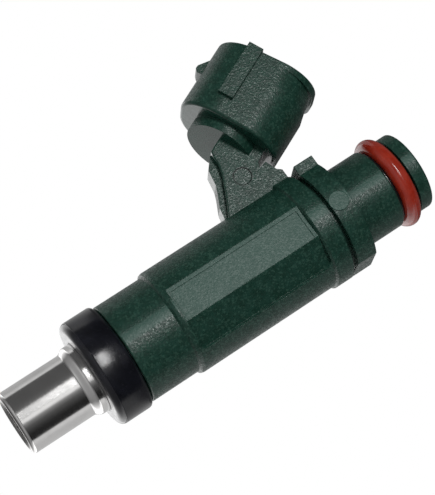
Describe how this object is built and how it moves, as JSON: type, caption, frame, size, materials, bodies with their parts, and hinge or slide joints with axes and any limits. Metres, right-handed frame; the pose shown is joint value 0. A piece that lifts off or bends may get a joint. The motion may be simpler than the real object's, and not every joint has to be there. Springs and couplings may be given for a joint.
{
  "type": "fuel injector",
  "caption": "Top-feed electromagnetic fuel injector: green moulded body with angled oval connector, red rail ring, black port seal and polished steel nozzle",
  "frame": {"origin": "on the injector's axis, at the middle of the lower seal ring's height", "axes": "+Z along the axis from nozzle to fuel rail, -X towards the electrical connector, -Y is the side with the label panel"},
  "size_m": [0.0382, 0.017, 0.066],
  "materials": {
    "green_plastic": "fine spark-eroded grain",
    "black_rubber": "glossy moulded",
    "red_rubber": "glossy moulded",
    "black_plastic": "glossy",
    "bright_steel": "polished, turned",
    "etched_steel": "fine satin",
    "ground_steel": "ground",
    "magnet_steel": "turned",
    "spring_steel": "drawn wire",
    "zinc_steel": "zinc plated",
    "bobbin_plastic": "glass-filled nylon",
    "copper_wire": "enamelled copper",
    "filter_brass": "drawn",
    "filter_plastic": "natural nylon",
    "filter_gauze": "woven",
    "tinned_contact": "tin plated"
  },
  "bodies": {
    "injector": {"overmould_body": "green_plastic", "lower_seal_ring": "black_rubber", "rail_o_ring": "red_rubber", "backup_ring": "black_plastic", "nozzle_sleeve": "bright_steel", "orifice_plate": "etched_steel", "valve_seat": "ground_steel", "guide_disc": "etched_steel", "return_spring": "spring_steel", "nonmagnetic_ring": "ground_steel", "inlet_tube": "magnet_steel", "adjusting_sleeve": "spring_steel", "coil_housing": "zinc_steel", "coil_bobbin": "bobbin_plastic", "coil_winding": "copper_wire", "bobbin_seal_lower": "black_rubber", "bobbin_seal_upper": "black_rubber", "flux_plate": "zinc_steel", "filter_ring": "filter_brass", "filter_frame": "filter_plastic", "filter_mesh": "filter_gauze", "terminal_left": "tinned_contact", "terminal_right": "tinned_contact"},
    "valve": {"valve_ball": "ground_steel", "needle_tube": "ground_steel", "armature": "magnet_steel"}
  },
  "joints": [
    {"name": "valve_lift", "type": "slide", "parent": "injector", "child": "valve", "axis": [0, 0, 1], "range_m": [0, 0.0001], "stiffness_N_per_m": 2000, "springref_m": -0.0015, "deforming": ["return_spring"]}
  ]
}
